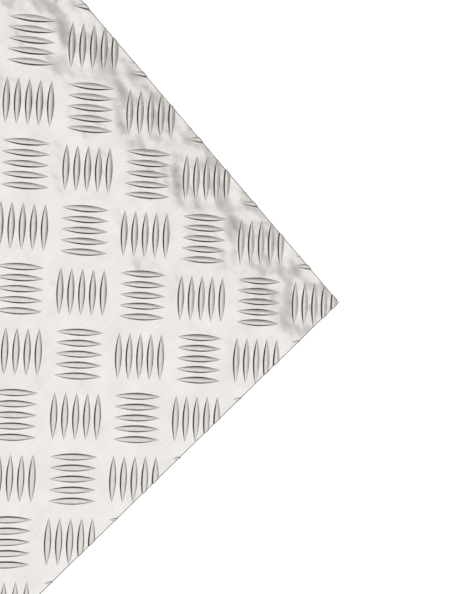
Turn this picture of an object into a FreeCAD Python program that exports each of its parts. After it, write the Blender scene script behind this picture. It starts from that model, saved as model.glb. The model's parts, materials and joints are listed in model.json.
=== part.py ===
import FreeCAD, Part
import math
import os

# Aluminium five-bar checker plate: one flat sheet, rolled with a raised tread on its upper face
# and sheared to a rectangle. Millimetres. The origin is the centre of the flat underside,
# +X runs along the sheet, +Y across it and +Z up out of the tread.

DRIVING_SIZES = [
    ("sheet_length", "500", "sheared length, along the rolling direction"),
    ("sheet_width", "250", "sheared width"),
    ("base_thickness", "1.5", "sheet without its tread"),
    ("tread_height", "1", "how far a bar stands above the sheet"),
    ("bar_length", "23", "from point to point, at the foot of the bar"),
    ("bar_width", "3.5", "widest place, at the foot of the bar"),
    ("flank_run", "0.45", "how far each flank leans in over the tread height"),
    ("bar_pitch", "5.28", "from bar to bar within a group of five"),
    ("group_pitch", "30", "from a group's centre to that of the next, crosswise group"),
    ("corner_group_in_x", "11.1", "centre of the group nearest the +X -Y corner, in from the end"),
    ("corner_group_in_y", "8.3", "the same group's centre, in from the long edge"),
]

# Worked out from the driving sizes. A bar's outline is two arcs, so the radius follows from its
# length and width: the outline is where two equal circles overlap.
DERIVED_SIZES = [
    ("arc_radius", "=(bar_length ^ 2 + bar_width ^ 2) / (4 * bar_width)", "of a bar's outline"),
    ("arc_centre_offset", "=arc_radius - bar_width / 2", "of that arc, off the bar's middle line"),
    ("flank_lean", "=flank_run / tread_height", "lean of a bar's flank for each millimetre of rise"),
    ("root_depth", "=base_thickness / 2", "how deep the bars' solids reach into the sheet"),
    ("row_pitch", "=group_pitch * sqrt(2)", "between groups that lie the same way"),
]

BARS_PER_GROUP = 5
CORNER_GROUP_ANGLE = 45.0    # the bars lie at 45 degrees to the sheared edges


def fill_sheet(doc):
    """Write the sizes into a spreadsheet, each with its alias and a note."""
    sheet = doc.addObject("Spreadsheet::Sheet", "Sizes")
    for row, (alias, value, note) in enumerate(DRIVING_SIZES + DERIVED_SIZES, start=1):
        sheet.set(f"A{row}", alias)
        sheet.set(f"B{row}", value)
        sheet.set(f"C{row}", note)
        sheet.setAlias(f"B{row}", alias)
    doc.recompute()
    return sheet


def add_sheet_block(doc, name, height):
    """A box over the sheet's outline, from the underside up to the given height."""
    block = doc.addObject("Part::Box", name)
    block.setExpression("Length", "Sizes.sheet_length")
    block.setExpression("Width", "Sizes.sheet_width")
    block.setExpression("Height", height)
    block.setExpression("Placement.Base.x", "-Sizes.sheet_length / 2")
    block.setExpression("Placement.Base.y", "-Sizes.sheet_width / 2")
    return block


def add_flank_cone(doc, name, side):
    """One side of a bar: a wide cone whose flank leans in as it rises. It starts halfway down the
    sheet, so that the bar is rooted in the metal under it."""
    cone = doc.addObject("Part::Cone", name)
    cone.setExpression("Radius1", "Sizes.arc_radius + Sizes.root_depth * Sizes.flank_lean")
    cone.setExpression("Radius2", "Sizes.arc_radius - Sizes.flank_run")
    cone.setExpression("Height", "Sizes.root_depth + Sizes.tread_height")
    cone.setExpression("Placement.Base.y", f"{side} * Sizes.arc_centre_offset")
    cone.setExpression("Placement.Base.z", "Sizes.base_thickness - Sizes.root_depth")
    return cone


def add_bar(doc):
    """One tread bar at the origin, its length along X: a pointed lens with leaning flanks."""
    bar = doc.addObject("Part::Common", "Bar")
    bar.Base = add_flank_cone(doc, "FlankBelow", -1)
    bar.Tool = add_flank_cone(doc, "FlankAbove", 1)
    return bar


def group_centres(sheet):
    """Centre and angle of every group of bars. Groups that lie the same way stand in rows along
    X and Y, and the crosswise groups stand in the middle of each four of them."""
    half_length = sheet.sheet_length / 2
    half_width = sheet.sheet_width / 2
    corner_x = half_length - sheet.corner_group_in_x
    corner_y = -half_width + sheet.corner_group_in_y
    columns = math.ceil(sheet.sheet_length / sheet.row_pitch) + 1
    rows = math.ceil(sheet.sheet_width / sheet.row_pitch) + 1
    for column in range(-1, columns):
        for row in range(-1, rows):
            x = corner_x - column * sheet.row_pitch
            y = corner_y + row * sheet.row_pitch
            yield x, y, CORNER_GROUP_ANGLE
            yield x + sheet.row_pitch / 2, y + sheet.row_pitch / 2, -CORNER_GROUP_ANGLE


def bar_placements(sheet):
    """Where every bar goes: five side by side in each group."""
    z_axis = FreeCAD.Vector(0, 0, 1)
    for x, y, angle in group_centres(sheet):
        group = FreeCAD.Placement(FreeCAD.Vector(x, y, 0), FreeCAD.Rotation(z_axis, angle))
        for number in range(BARS_PER_GROUP):
            across = (number - (BARS_PER_GROUP - 1) / 2) * sheet.bar_pitch
            yield group * FreeCAD.Placement(FreeCAD.Vector(0, across, 0), FreeCAD.Rotation())


def touches_sheet(box, sheet):
    """True where a bar's bounding box reaches over the sheared outline."""
    over_length = abs(box.Center.x) < (sheet.sheet_length + box.XLength) / 2
    over_width = abs(box.Center.y) < (sheet.sheet_width + box.YLength) / 2
    return over_length and over_width


def add_bar_field(doc, sheet, bar):
    """All the bars that lie on the sheet, as one compound, some of them reaching past its edges."""
    bars = []
    for placement in bar_placements(sheet):
        copy = bar.Shape.copy()
        copy.Placement = placement.multiply(copy.Placement)
        if touches_sheet(copy.BoundBox, sheet):
            bars.append(copy)
    field = doc.addObject("Part::Feature", "BarField")
    field.Shape = Part.makeCompound(bars)
    return field


def build():
    doc = FreeCAD.newDocument("CheckerPlate")
    sheet = fill_sheet(doc)

    base = add_sheet_block(doc, "BaseSheet", "Sizes.base_thickness")
    bar = add_bar(doc)
    doc.recompute()

    # Shearing the sheet to size cuts straight through the bars that cross its edges.
    sheared_bars = doc.addObject("Part::Common", "ShearedBars")
    sheared_bars.Base = add_bar_field(doc, sheet, bar)
    sheared_bars.Tool = add_sheet_block(doc, "ShearLine", "Sizes.base_thickness + Sizes.tread_height")

    plate = doc.addObject("Part::Fuse", "CheckerPlate")
    plate.Base = base
    plate.Tool = sheared_bars
    plate.Refine = True
    plate.Label = "checker_plate"
    doc.recompute()
    return doc, plate


def check(doc, plate):
    """Stop before anything is written if the document or the plate didn't build."""
    for item in doc.Objects:
        failed = [state for state in item.State if state in ("Invalid", "Error")]
        if failed:
            raise RuntimeError(f"{item.Label} failed to build: {failed}")
    shape = plate.Shape
    if shape.isNull() or not shape.isValid():
        raise RuntimeError(f"{plate.Label} has no valid shape")
    if len(shape.Solids) != 1:
        raise RuntimeError(f"{plate.Label} is {len(shape.Solids)} solids, not one")


doc, plate = build()
check(doc, plate)
os.makedirs("parts", exist_ok=True)
plate.Shape.exportStep(f"parts/{plate.Label}.step")
size = plate.Shape.optimalBoundingBox()
print(f"{plate.Label}: {size.XLength:.2f} x {size.YLength:.2f} x {size.ZLength:.2f} mm,",
      f"{plate.Shape.Volume / 1000:.2f} cm3, {len(plate.Shape.Faces)} faces")
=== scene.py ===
import json
import math
import bmesh
import bpy
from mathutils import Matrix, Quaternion, Vector

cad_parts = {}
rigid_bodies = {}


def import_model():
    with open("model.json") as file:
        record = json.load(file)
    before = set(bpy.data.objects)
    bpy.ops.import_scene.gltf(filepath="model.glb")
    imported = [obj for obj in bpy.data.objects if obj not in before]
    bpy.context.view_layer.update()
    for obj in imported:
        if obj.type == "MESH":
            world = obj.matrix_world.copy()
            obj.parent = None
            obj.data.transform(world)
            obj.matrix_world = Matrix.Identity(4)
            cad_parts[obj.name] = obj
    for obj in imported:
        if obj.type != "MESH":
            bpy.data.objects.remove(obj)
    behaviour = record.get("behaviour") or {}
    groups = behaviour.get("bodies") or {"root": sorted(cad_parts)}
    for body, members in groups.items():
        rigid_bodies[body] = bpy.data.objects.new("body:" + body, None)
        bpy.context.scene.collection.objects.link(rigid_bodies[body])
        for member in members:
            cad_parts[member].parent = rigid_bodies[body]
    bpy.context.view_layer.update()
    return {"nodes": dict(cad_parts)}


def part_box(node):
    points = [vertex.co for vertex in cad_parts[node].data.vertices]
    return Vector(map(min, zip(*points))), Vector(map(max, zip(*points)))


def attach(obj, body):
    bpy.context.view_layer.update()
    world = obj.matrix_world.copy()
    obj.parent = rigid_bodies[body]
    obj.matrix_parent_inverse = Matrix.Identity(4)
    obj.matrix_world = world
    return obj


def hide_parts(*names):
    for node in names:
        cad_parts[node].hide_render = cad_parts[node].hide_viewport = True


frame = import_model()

MM = 0.001
sheet_low, sheet_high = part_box("checker_plate")


# ---- Camera -------------------------------------------------------------------------------
# The sheet is looked down on from half a metre above its middle, turned so that one corner
# points to the right of the picture and the sheet runs out of it at the left.

camera_place = Vector((76.2, 12.2, 553.5)) * MM
camera_aim = Vector((207.2, -82.8, 2.0)) * MM
camera_roll = math.radians(83.75)
camera_lens = 69.45

camera_data = bpy.data.cameras.new("camera")
camera_data.lens = camera_lens
camera_data.clip_start = 10 * MM
camera = bpy.data.objects.new("camera", camera_data)
bpy.context.scene.collection.objects.link(camera)
camera.location = camera_place
camera.rotation_mode = "QUATERNION"
camera.rotation_quaternion = (
    (camera_aim - camera_place).to_track_quat("-Z", "Y") @ Quaternion((0, 0, 1), camera_roll)
)
bpy.context.scene.camera = camera


# ---- Aluminium ------------------------------------------------------------------------------
# Bare aluminium with a bright mill finish, as it leaves the rolls: close to a mirror, but for a
# fine grain along the rolling direction and slow waves where the roll let go of the sheet. The
# bars were pressed into the engraved roll's pockets, so their tops are duller than the sheet.

def linear(code):
    """Linear colour from an sRGB hex code."""
    parts = [int(code[start:start + 2], 16) / 255 for start in (1, 3, 5)]
    return [c / 12.92 if c <= 0.04045 else ((c + 0.055) / 1.055) ** 2.4 for c in parts] + [1.0]


def add_node(tree, kind, links=(), **settings):
    """A node with its settings, and the value or the source socket that each input gets."""
    made = tree.nodes.new(kind)
    for name, value in settings.items():
        setattr(made, name, value)
    for name, source in links:
        target = made.inputs[name]
        if isinstance(name, str):
            target = [entry for entry in made.inputs if entry.enabled and entry.name == name][0]
        if isinstance(source, bpy.types.NodeSocket):
            tree.links.new(source, target)
        else:
            target.default_value = source
    return made


def new_material(name):
    material = bpy.data.materials.new(name)
    material.use_nodes = True
    material.node_tree.nodes.clear()
    return material, material.node_tree


grain_width = 1.2 * MM
grain_stretch = 0.1
wave_size = 16 * MM


def make_aluminium(name, light, dark, patch_size, roughness, grain_depth, wave_depth):
    """Bare aluminium that varies between two colours, in patches of a given size and in streaks."""
    material, tree = new_material(name)
    place = add_node(tree, "ShaderNodeTexCoord").outputs["Object"]
    patches = add_node(
        tree, "ShaderNodeTexNoise",
        [("Vector", place), ("Scale", 1 / patch_size), ("Detail", 4.0), ("Roughness", 0.6)],
    ).outputs["Fac"]
    # The real grain is some tenths of a millimetre across. It is drawn wider, and ten times as
    # long as wide, so that it shows.
    along_the_rolling = add_node(
        tree, "ShaderNodeMapping", [("Vector", place), ("Scale", (grain_stretch, 1.0, 1.0))]
    ).outputs["Vector"]
    grain = add_node(
        tree, "ShaderNodeTexNoise",
        [("Vector", along_the_rolling), ("Scale", 1 / grain_width), ("Detail", 3.0),
         ("Roughness", 0.6)],
    ).outputs["Fac"]
    shade = add_node(tree, "ShaderNodeMix", [("Factor", 0.35), ("A", patches), ("B", grain)])
    colour = add_node(
        tree, "ShaderNodeMix",
        [("Factor", shade.outputs[0]), ("A", linear(light)), ("B", linear(dark))],
        data_type="RGBA",
    ).outputs[2]
    waves = add_node(
        tree, "ShaderNodeTexNoise",
        [("Vector", place), ("Scale", 1 / wave_size), ("Detail", 2.0), ("Roughness", 0.4)],
    ).outputs["Fac"]
    waved = add_node(
        tree, "ShaderNodeBump", [("Height", waves), ("Strength", 1.0), ("Distance", wave_depth)]
    ).outputs["Normal"]
    surface = add_node(
        tree, "ShaderNodeBump",
        [("Height", grain), ("Strength", 1.0), ("Distance", grain_depth), ("Normal", waved)],
    ).outputs["Normal"]
    metal = add_node(
        tree, "ShaderNodeBsdfPrincipled",
        [("Base Color", colour), ("Metallic", 1.0), ("Roughness", roughness), ("Normal", surface)],
    ).outputs["BSDF"]
    add_node(tree, "ShaderNodeOutputMaterial", [("Surface", metal)])
    return material


rolled_face = make_aluminium(
    "aluminium_mill_finish", light="#FFFDFB", dark="#DAD7D3", patch_size=13 * MM, roughness=0.16,
    grain_depth=0.06 * MM, wave_depth=1.0 * MM,
)
bar_top = make_aluminium(
    "aluminium_bar_top", light="#F4F2EE", dark="#C9C4BD", patch_size=2.5 * MM, roughness=0.24,
    grain_depth=0.03 * MM, wave_depth=0.5 * MM,
)
# Painted shade: the flanks are coloured darker than bare metal, to draw the dark outline round each
# bar.
flank_painted_shade = make_aluminium(
    "aluminium_flank_painted_shade", light="#989490", dark="#6A6662", patch_size=4 * MM, roughness=0.28,
    grain_depth=0.02 * MM, wave_depth=0.1 * MM,
)
# The blade leaves a dull, torn face. Its darker colour is partly painted shade, for the dark line
# along the edge.
torn_edge_with_painted_shade = make_aluminium(
    "aluminium_torn_edge_with_painted_shade", light="#C6C3BF", dark="#8A8782", patch_size=1.2 * MM, roughness=0.45,
    grain_depth=0.05 * MM, wave_depth=0.1 * MM,
)
finishes = [rolled_face, bar_top, flank_painted_shade, torn_edge_with_painted_shade]


# ---- A strip of tread with one bar ----------------------------------------------------------
# The tread is raised bars, rolled into the sheet's upper face: pointed lenses with steep flanks
# and a crowned top. One strip of the face, as wide as one bar's share of it, is shaped first.

bar_length = 23.0 * MM
bar_width = 3.5 * MM
bar_pitch = 5.28 * MM
group_pitch = 30.0 * MM
tread_height = 1.0 * MM
base_top = sheet_high.z - tread_height

# Lines along the strip: how far each is from the bar's middle line, and its height.
foot = bar_width / 2
flank_run = 0.65 * MM
shoulder_run = 0.45 * MM
shoulder = foot - flank_run
lines_along = [
    (0.0, tread_height),
    (shoulder - shoulder_run, 0.93 * tread_height),
    (shoulder, 0.80 * tread_height),
    (foot, 0.0),
    (bar_pitch / 2, 0.0),
]

# Lines across the strip, from the bar's middle out to the edge of its group's cell. The last but
# one is at the bar's point.
half_bar = bar_length / 2
half_cell = group_pitch / 2
near_point = 10.2 * MM
lines_across = [
    0.0, 0.5 * bar_pitch, bar_pitch, 1.5 * bar_pitch, near_point, half_bar, half_cell
]

# How close counts as touching, as the same place, and as clear of a line.
touching = 0.02 * MM
same_place = 0.005 * MM
clear = 0.1 * MM


def make_active(item):
    for other in bpy.context.scene.objects:
        other.select_set(False)
    item.select_set(True)
    bpy.context.view_layer.objects.active = item


def select_points(item, test):
    """In edit mode, select the points whose place passes the test."""
    mesh = bmesh.from_edit_mesh(item.data)
    for point in mesh.verts:
        point.select_set(test(point.co))
    mesh.select_flush_mode()
    bmesh.update_edit_mesh(item.data)


def select_faces(item, test):
    """In edit mode, select the faces whose middle and normal pass the test."""
    mesh = bmesh.from_edit_mesh(item.data)
    bpy.ops.mesh.select_mode(type="FACE")
    for face in mesh.faces:
        face.select_set(test(face.calc_center_median(), face.normal))
    bmesh.update_edit_mesh(item.data)


def finish_faces(item, finish, test):
    """Give the faces that pass the test one of the finishes."""
    select_faces(item, test)
    item.active_material_index = finishes.index(finish)
    bpy.ops.object.material_slot_assign()
    bpy.ops.mesh.select_mode(type="VERT")


def near(value, wanted):
    return abs(value - wanted) < touching


def extrude_by(x, y, z):
    bpy.ops.mesh.extrude_region_move(TRANSFORM_OT_translate={"value": (x, y, z)})


def fullness(distance):
    """How much of its full width a bar still has, this far along from its middle."""
    return 1.0 - (distance / half_bar) ** 2


profile = [(-out, rise) for out, rise in reversed(lines_along)] + lines_along[1:]
columns = [-line for line in reversed(lines_across)] + lines_across[1:]

# The first facet, in a corner of the strip, is stretched over the strip line by line.
make_active(frame["nodes"]["checker_plate"])
bpy.context.object.select_set(False)
bpy.ops.mesh.primitive_plane_add(size=1.0)
strip = bpy.context.object
for finish in finishes:
    strip.data.materials.append(finish)
bpy.ops.object.mode_set(mode="EDIT")
bpy.ops.mesh.select_mode(type="VERT")
facet_x = columns[1] - columns[0]
facet_y = profile[1][0] - profile[0][0]
bpy.ops.transform.resize(value=(facet_x, facet_y, 1), center_override=(0, 0, 0))
bpy.ops.transform.translate(
    value=(columns[0] + facet_x / 2, profile[0][0] + facet_y / 2, base_top)
)
select_points(strip, lambda p: near(p.y, profile[1][0]))
for (y, z), (next_y, next_z) in zip(profile[1:], profile[2:]):
    extrude_by(0, next_y - y, next_z - z)
select_points(strip, lambda p: near(p.x, columns[1]))
for x, next_x in zip(columns[1:], columns[2:]):
    extrude_by(next_x - x, 0, 0)

finish_faces(strip, bar_top, lambda middle, normal: abs(middle.y) < shoulder)
# The flanks get the painted shade that draws each bar's dark outline.
finish_faces(strip, flank_painted_shade, lambda middle, normal: shoulder < abs(middle.y) < foot)

# Each cross line is squeezed to the bar's width there, and to nothing past its point. The crest
# keeps its height along the middle and comes down towards the points.
crest_fullness = 1.55
for x in columns:
    width = max(0.0, fullness(x))
    height = min(1.0, crest_fullness * width)
    select_points(strip, lambda p: near(p.x, x) and abs(p.y) < foot + clear)
    bpy.ops.transform.resize(value=(1, width, height), center_override=(x, 0, base_top))
bpy.ops.mesh.select_all(action="SELECT")
bpy.ops.mesh.remove_doubles(threshold=same_place)
bpy.ops.object.mode_set(mode="OBJECT")


# ---- A group of five, and the block that repeats --------------------------------------------
# Five strips side by side make a group, in a square cell of its own. Where a group was pressed
# into the roll, the sheet round it is very slightly dished. Cells that lie along and across take
# turns, like the squares of a chessboard.

bars_per_group = 5


def add_array(item, count, x, y):
    array = item.modifiers.new("array", "ARRAY")
    array.use_relative_offset = False
    array.use_constant_offset = True
    array.constant_offset_displace = (x, y, 0)
    array.count = count
    array.use_merge_vertices = True
    array.merge_threshold = touching
    bpy.ops.object.modifier_apply(modifier=array.name)


def shift_points(item, test, x, y, z=0.0):
    select_points(item, test)
    bpy.ops.transform.translate(value=(x, y, z))


make_active(strip)
add_array(strip, bars_per_group, 0, bar_pitch)
cell_along = strip
bpy.ops.object.mode_set(mode="EDIT")
bpy.ops.mesh.select_all(action="SELECT")
bpy.ops.transform.translate(value=(0, -bar_pitch * (bars_per_group - 1) / 2, 0))
half_group = bar_pitch * bars_per_group / 2
for side in (-1, 1):
    select_points(cell_along, lambda p: near(p.y, side * half_group))
    extrude_by(0, side * (half_cell - half_group), 0)
    # The cell's four edges get the same points, so that a crosswise cell fits against it.
    for end in (-1, 1):
        shift_points(
            cell_along,
            lambda p: near(p.y, side * half_cell) and near(p.x, end * half_bar),
            end * (half_group - half_bar), 0,
        )
        shift_points(
            cell_along,
            lambda p: near(p.y, side * half_cell) and near(p.x, end * near_point),
            end * (2 * bar_pitch - near_point), 0,
        )
bpy.ops.object.mode_set(mode="OBJECT")


def copy_cell(cell, x, y, quarter_turn):
    """A copy of a cell with its own mesh, moved by whole cells and perhaps turned crosswise."""
    copy = cell.copy()
    copy.data = cell.data.copy()
    bpy.context.scene.collection.objects.link(copy)
    make_active(copy)
    bpy.ops.object.mode_set(mode="EDIT")
    bpy.ops.mesh.select_all(action="SELECT")
    if quarter_turn:
        bpy.ops.transform.rotate(value=math.radians(90), orient_axis="Z", center_override=(0, 0, 0))
    bpy.ops.transform.translate(value=(x, y, 0))
    bpy.ops.object.mode_set(mode="OBJECT")
    return copy


def sink(cell, depth):
    """Lower a cell's face, with its four edges left where they are."""
    make_active(cell)
    bpy.ops.object.mode_set(mode="EDIT")
    shift_points(cell, lambda p: max(abs(p.x), abs(p.y)) < half_cell - clear, 0, 0, -depth)
    bpy.ops.object.mode_set(mode="OBJECT")


cell_across = copy_cell(cell_along, 0, 0, quarter_turn=True)
dish_along = 0.16 * MM
rise_across = 0.03 * MM
sink(cell_along, dish_along)
sink(cell_across, -rise_across)
block_parts = [
    cell_along,
    copy_cell(cell_along, group_pitch, group_pitch, quarter_turn=False),
    copy_cell(cell_across, group_pitch, 0, quarter_turn=False),
    copy_cell(cell_across, 0, group_pitch, quarter_turn=False),
]
bpy.data.objects.remove(cell_across)


# ---- The sheet ------------------------------------------------------------------------------
# Aluminium, one piece: the block repeated over a field larger than the sheet, turned to lie at
# 45 degrees, and sheared to the sheet's outline, straight through the bars in the way.

corner_group_in_x = 11.1 * MM
corner_group_in_y = 8.3 * MM
corner_group = Vector((sheet_high.x - corner_group_in_x, sheet_low.y + corner_group_in_y, 0))
row_pitch = group_pitch * math.sqrt(2)
block_size = 2 * group_pitch
sheet_diagonal = (sheet_high - sheet_low).xy.length
blocks = math.ceil(sheet_diagonal / block_size) + 1

make_active(block_parts[0])
for part in block_parts[1:]:
    part.select_set(True)
bpy.ops.object.join()
plate = bpy.context.object
plate.name = "checker_plate_rolled"
plate.data.name = "checker_plate_rolled"
add_array(plate, blocks, block_size, 0)
add_array(plate, blocks, 0, block_size)

# The group at the field's middle is put on the same rows as the group in the sheet's corner.
middle = (blocks // 2) * block_size
rows_in = round(corner_group.x / row_pitch)
rows_up = round(corner_group.y / row_pitch)
bpy.ops.object.mode_set(mode="EDIT")
bpy.ops.mesh.select_all(action="SELECT")
bpy.ops.mesh.remove_doubles(threshold=touching)
bpy.ops.transform.translate(value=(-middle, -middle, 0))
bpy.ops.transform.rotate(value=math.radians(-45), orient_axis="Z", center_override=(0, 0, 0))
bpy.ops.transform.translate(
    value=(corner_group.x - rows_in * row_pitch, corner_group.y - rows_up * row_pitch, 0)
)

# Shears cut a little inside the outline, because the blade drags the edge down as it enters.
roll_over = 0.45 * MM
roll_over_drop = 0.23 * MM
for normal in (Vector((1, 0, 0)), Vector((-1, 0, 0)), Vector((0, 1, 0)), Vector((0, -1, 0))):
    outline = sheet_high if sum(normal) > 0 else sheet_low
    bpy.ops.mesh.select_all(action="SELECT")
    bpy.ops.mesh.bisect(
        plane_co=outline - normal * roll_over, plane_no=normal, clear_outer=True,
        threshold=0.001 * MM,
    )


def select_rim(item):
    """In edit mode, select the open edge that runs round the sheet."""
    mesh = bmesh.from_edit_mesh(item.data)
    for face in mesh.faces:
        face.select_set(False)
    for edge in mesh.edges:
        edge.select_set(edge.is_boundary)
    bmesh.update_edit_mesh(item.data)


def spread(out):
    """Scale that moves the sheared outline outwards by this much on every side."""
    half = (sheet_high - sheet_low) / 2
    return (1 + out / half.x, 1 + out / half.y, 1)


bpy.ops.mesh.select_all(action="DESELECT")
bpy.ops.mesh.select_mode(type="EDGE")
select_rim(plate)
extrude_by(0, 0, -roll_over_drop)
bpy.ops.transform.resize(value=spread(roll_over), center_override=(0, 0, 0))
burr = 0.08 * MM
extrude_by(0, 0, 0)
bpy.ops.transform.resize(value=(1, 1, 0), center_override=(0, 0, sheet_low.z + burr))
extrude_by(0, 0, -burr)
bpy.ops.transform.resize(value=spread(-burr), center_override=(0, 0, sheet_low.z))
bpy.ops.mesh.edge_face_add()
bpy.ops.mesh.select_all(action="SELECT")
bpy.ops.mesh.normals_make_consistent(inside=False)
inner = sheet_high - Vector((roll_over, roll_over, 0))
nearly_upright = 0.2
# The rolled-over band round the sheet gets the flanks' painted shade, which draws a dark line along
# the edge.
finish_faces(
    plate, flank_painted_shade,
    lambda middle, normal: abs(middle.x) > inner.x or abs(middle.y) > inner.y,
)
# The upright sheared faces: dull torn metal, darkened in part with painted shade.
finish_faces(
    plate, torn_edge_with_painted_shade,
    lambda middle, normal: abs(normal.z) < nearly_upright
    and (near(abs(middle.x), sheet_high.x) or near(abs(middle.y), sheet_high.y)),
)
finish_faces(plate, rolled_face, lambda middle, normal: middle.z < sheet_low.z + same_place)
bpy.ops.object.mode_set(mode="OBJECT")
crease_angle = math.radians(25)
bpy.ops.object.shade_smooth_by_angle(angle=crease_angle)

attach(plate, "root")
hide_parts("checker_plate")


# ---- Floor and light ------------------------------------------------------------------------
# A plain white floor under the sheet, in a pale room that is darker towards the floor and overhead.
# Two broad softboxes hang above the sheet, the larger one a little higher.

floor_size = 8.0
floor_gap = 0.1 * MM
floor_glow = 0.55
bpy.ops.mesh.primitive_plane_add(size=floor_size, location=(0, 0, -floor_gap))
floor = bpy.context.object
floor.name = "floor"
white_floor, tree = new_material("white_floor")
seen = add_node(tree, "ShaderNodeLightPath").outputs
mirrored = add_node(
    tree, "ShaderNodeMath",
    [(0, seen["Is Glossy Ray"]), (1, seen["Is Transmission Ray"])], operation="MAXIMUM",
).outputs["Value"]
seen_white = add_node(
    tree, "ShaderNodeMath", [(0, seen["Is Camera Ray"]), (1, mirrored)], operation="MAXIMUM"
).outputs["Value"]
paint = add_node(tree, "ShaderNodeBsdfDiffuse", [("Color", linear("#F4F4F4"))]).outputs["BSDF"]
glow = add_node(
    tree, "ShaderNodeEmission", [("Color", (1, 1, 1, 1)), ("Strength", floor_glow)]
).outputs["Emission"]
both = add_node(tree, "ShaderNodeAddShader", [(0, paint), (1, glow)]).outputs["Shader"]
surface = add_node(
    tree, "ShaderNodeMixShader", [("Fac", seen_white), (1, paint), (2, both)]
).outputs["Shader"]
add_node(tree, "ShaderNodeOutputMaterial", [("Surface", surface)])
floor.data.materials.append(white_floor)

cool_white = (0.95, 1.0, 1.02)


def add_softbox(name, low, high, height, radiance):
    """A flat lamp over a rectangle, given by two corners, as bright as a white card would be."""
    lamp = bpy.data.lights.new(name, "AREA")
    lamp.shape = "RECTANGLE"
    lamp.size = high[0] - low[0]
    lamp.size_y = high[1] - low[1]
    lamp.color = cool_white
    lamp.energy = radiance * math.pi * lamp.size * lamp.size_y
    softbox = bpy.data.objects.new(name, lamp)
    bpy.context.scene.collection.objects.link(softbox)
    softbox.location = ((low[0] + high[0]) / 2, (low[1] + high[1]) / 2, height)


add_softbox("softbox", low=(-0.70, -0.85), high=(0.54, 0.65), height=1.0, radiance=0.34)
add_softbox("softbox_rim", low=(-0.85, -1.00), high=(0.69, 0.80), height=1.05, radiance=0.23)

world = bpy.data.worlds.new("studio")
world.use_nodes = True
world.node_tree.nodes.clear()
bpy.context.scene.world = world
tree = world.node_tree
direction = add_node(tree, "ShaderNodeTexCoord").outputs["Generated"]
upward = add_node(tree, "ShaderNodeSeparateXYZ", [("Vector", direction)]).outputs["Z"]
overhead = add_node(
    tree, "ShaderNodeMapRange", [("Value", upward), ("From Min", 0.60), ("From Max", 0.80)],
    interpolation_type="SMOOTHSTEP",
).outputs["Result"]
above_table = add_node(
    tree, "ShaderNodeMapRange", [("Value", upward), ("From Min", 0.0), ("From Max", 0.50)]
).outputs["Result"]
walls = add_node(
    tree, "ShaderNodeMix",
    [("Factor", above_table), ("A", linear("#707070")), ("B", linear("#F4F4F4"))],
    data_type="RGBA",
).outputs[2]
room = add_node(
    tree, "ShaderNodeMix",
    [("Factor", overhead), ("A", walls), ("B", linear("#B4AEAA"))], data_type="RGBA",
).outputs[2]
sky = add_node(
    tree, "ShaderNodeBackground", [("Color", room), ("Strength", 1.0)]
).outputs["Background"]
white = add_node(
    tree, "ShaderNodeBackground", [("Color", (1, 1, 1, 1)), ("Strength", 1.0)]
).outputs["Background"]
seen = add_node(tree, "ShaderNodeLightPath").outputs["Is Camera Ray"]
backdrop = add_node(tree, "ShaderNodeMixShader", [("Fac", seen), (1, sky), (2, white)])
add_node(tree, "ShaderNodeOutputWorld", [("Surface", backdrop.outputs["Shader"])])
bpy.context.scene.view_settings.view_transform = "Standard"
